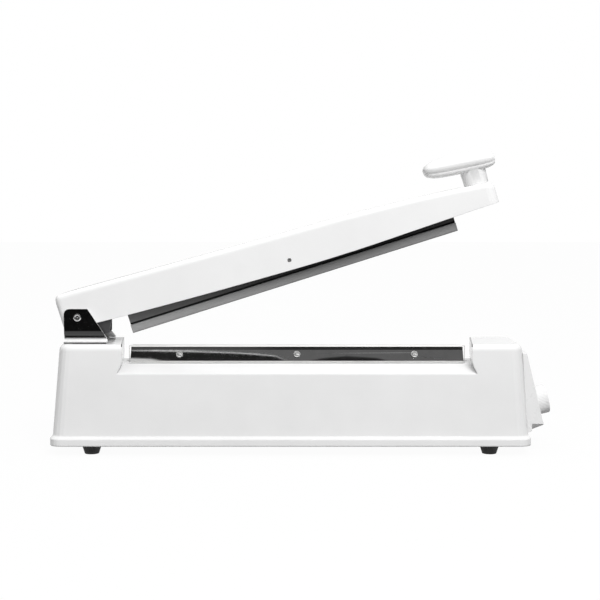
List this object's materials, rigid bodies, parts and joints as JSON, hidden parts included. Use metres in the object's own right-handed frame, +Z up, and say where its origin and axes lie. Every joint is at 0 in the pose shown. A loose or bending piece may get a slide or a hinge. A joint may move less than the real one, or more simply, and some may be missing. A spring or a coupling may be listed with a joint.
{
  "type": "tabletop heat sealer",
  "caption": "Hand-operated tabletop impulse sealer for plastic bags: white moulded base with a recessed heating bar, a hinged pressing arm with a grip, and a timer knob on one end.",
  "frame": {"origin": "middle of the assembly's outline at the height the feet stand on", "axes": "+Z up, +X along the seal towards the timer end, -Y towards the user"},
  "size_m": [0.4482, 0.085, 0.2693],
  "materials": {
    "white_plastic": "satin moulded",
    "black_rubber": "matte",
    "chrome": "bright plated",
    "steel": "zinc plated",
    "aluminium": "extruded",
    "dark_aluminium": "black anodised",
    "silicone": "matte grey",
    "cloth": "coated glass cloth",
    "glass_tape": "woven glass",
    "brass": "turned",
    "coil_tape": "wound tape",
    "iron": "stacked laminations",
    "black_plastic": "matte",
    "green_board": "lacquered",
    "red_lens": "clear moulded"
  },
  "bodies": {
    "base": {"base_housing": "white_plastic", "bottom_plate": "steel", "foot_front_left": "black_rubber", "foot_screw_front_left": "steel", "foot_back_left": "black_rubber", "foot_screw_back_left": "steel", "foot_front_right": "black_rubber", "foot_screw_front_right": "steel", "foot_back_right": "black_rubber", "foot_screw_back_right": "steel", "seal_bar": "aluminium", "bar_screw_left": "steel", "bar_screw_right": "steel", "insulation_tape": "glass_tape", "heating_strip": "steel", "terminal_left": "brass", "terminal_right": "brass", "ptfe_cloth": "cloth", "clamp_plate_front": "chrome", "clamp_plate_back": "chrome", "clamp_screw_front_1": "steel", "clamp_screw_front_2": "steel", "clamp_screw_front_3": "steel", "clamp_screw_back_1": "steel", "clamp_screw_back_2": "steel", "clamp_screw_back_3": "steel", "hinge_ear_front": "chrome", "ear_nut_front_left": "steel", "ear_nut_front_right": "steel", "hinge_ear_back": "chrome", "ear_nut_back_left": "steel", "ear_nut_back_right": "steel", "hinge_pin": "steel", "hinge_nut": "steel", "return_spring": "steel", "switch_bracket": "steel", "micro_switch": "black_plastic", "timer_panel": "white_plastic", "indicator_lamp": "red_lens", "potentiometer": "steel", "potentiometer_nut": "steel", "circuit_board": "green_board", "transformer_core": "iron", "transformer_coil": "coil_tape", "cord_grommet": "black_rubber"},
    "arm": {"arm_cover": "white_plastic", "arm_channel": "steel", "pivot_bush": "brass", "rock_pin": "steel", "handle": "white_plastic", "handle_screw": "steel"},
    "rocker": {"strip_holder": "dark_aluminium", "seal_strip": "silicone"},
    "plunger": {"return_plunger": "steel", "switch_button": "black_plastic"},
    "timer": {"timer_knob": "white_plastic", "timer_shaft": "aluminium"}
  },
  "joints": [
    {"name": "arm_hinge", "type": "hinge", "parent": "base", "child": "arm", "pos_m": [-0.20056, 0, 0.1204], "axis": [0, 1, 0], "range_deg": [0, 16.83], "stiffness_Nm_per_rad": 3, "springref_deg": -34.38},
    {"name": "rocker_pivot", "type": "hinge", "parent": "arm", "child": "rocker", "pos_m": [-0.01246, 0, 0.17103], "axis": [0, 1, 0], "range_deg": [0, 0.72]},
    {"name": "plunger_slide", "type": "slide", "parent": "base", "child": "plunger", "axis": [0, 0, -1], "range_m": [0, 0.00455], "deforming": ["return_spring"]},
    {"name": "timer_turn", "type": "hinge", "parent": "base", "child": "timer", "pos_m": [0.20968, 0, 0.04241], "axis": [0.9708, 0, 0.2397], "range_deg": [-135, 135]}
  ],
  "couplings": [
    {"joint": "rocker_pivot", "follows": "arm_hinge", "ratio": 0.042187},
    {"joint": "plunger_slide", "follows": "arm_hinge", "m_per_rad": 0.015421}
  ]
}
